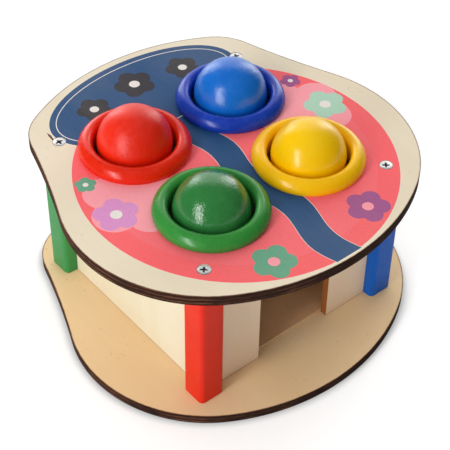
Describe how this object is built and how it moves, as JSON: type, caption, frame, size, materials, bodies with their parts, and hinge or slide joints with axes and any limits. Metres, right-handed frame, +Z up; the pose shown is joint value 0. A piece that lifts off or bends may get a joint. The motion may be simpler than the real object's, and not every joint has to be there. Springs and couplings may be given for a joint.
{
  "type": "ball pounding bench",
  "caption": "Ladybird-shaped plywood pounding bench on square posts, with balls standing in rings and a ramp to a gate below.",
  "frame": {"origin": "middle of the base plate's bounding box, at the height of the surface that the bench stands on", "axes": "+Z up through the balls, +Y towards the head of the ladybird outline, -Y out of the gate, +X to the right as seen from the gate"},
  "size_m": [0.2218, 0.2246, 0.1333],
  "materials": {
    "printed_plywood": "laser-cut plywood with a printed picture and charred edges, satin",
    "plain_plywood": "bare plywood with charred edges, satin",
    "wall_board": "bare thin plywood with scorched cut edges, satin",
    "red_paint": "gloss red paint on wood",
    "blue_paint": "gloss blue paint on wood",
    "green_paint": "gloss green paint on wood",
    "yellow_paint": "gloss yellow paint on wood",
    "red_plastic": "gloss red moulded plastic",
    "blue_plastic": "gloss blue moulded plastic",
    "green_plastic": "gloss green moulded plastic",
    "yellow_plastic": "gloss yellow moulded plastic",
    "grip_rubber": "dark grey soft rubber, matt",
    "screw_steel": "zinc-plated steel, bright"
  },
  "bodies": {
    "bench": {"base_plate": "plain_plywood", "top_plate": "printed_plywood", "left_wall": "wall_board", "right_wall": "wall_board", "head_wall": "wall_board", "gate_jamb_left": "wall_board", "gate_jamb_right": "wall_board", "ramp": "wall_board", "ramp_rest": "wall_board", "green_post": "green_paint", "yellow_post": "yellow_paint", "red_post": "red_paint", "blue_post": "blue_paint", "red_ring": "red_plastic", "blue_ring": "blue_plastic", "green_ring": "green_plastic", "yellow_ring": "yellow_plastic", "red_grip_ring": "grip_rubber", "blue_grip_ring": "grip_rubber", "green_grip_ring": "grip_rubber", "yellow_grip_ring": "grip_rubber", "top_screw_green_post": "screw_steel", "top_screw_yellow_post": "screw_steel", "top_screw_red_post": "screw_steel", "top_screw_blue_post": "screw_steel", "base_screw_green_post": "screw_steel", "base_screw_yellow_post": "screw_steel", "base_screw_red_post": "screw_steel", "base_screw_blue_post": "screw_steel"},
    "red_ball": {"red_ball": "red_paint"},
    "blue_ball": {"blue_ball": "blue_paint"},
    "green_ball": {"green_ball": "green_paint"},
    "yellow_ball": {"yellow_ball": "yellow_paint"}
  },
  "joints": [
    {"name": "red_ball_slide", "type": "slide", "parent": "bench", "child": "red_ball", "axis": [0, 0, 1], "range_m": [-0.0583, 0.03], "deforming": ["red_grip_ring"]},
    {"name": "blue_ball_slide", "type": "slide", "parent": "bench", "child": "blue_ball", "axis": [0, 0, 1], "range_m": [-0.0585, 0.03], "deforming": ["blue_grip_ring"]},
    {"name": "green_ball_slide", "type": "slide", "parent": "bench", "child": "green_ball", "axis": [0, 0, 1], "range_m": [-0.07, 0.03], "deforming": ["green_grip_ring"]},
    {"name": "yellow_ball_slide", "type": "slide", "parent": "bench", "child": "yellow_ball", "axis": [0, 0, 1], "range_m": [-0.0712, 0.03], "deforming": ["yellow_grip_ring"]}
  ]
}
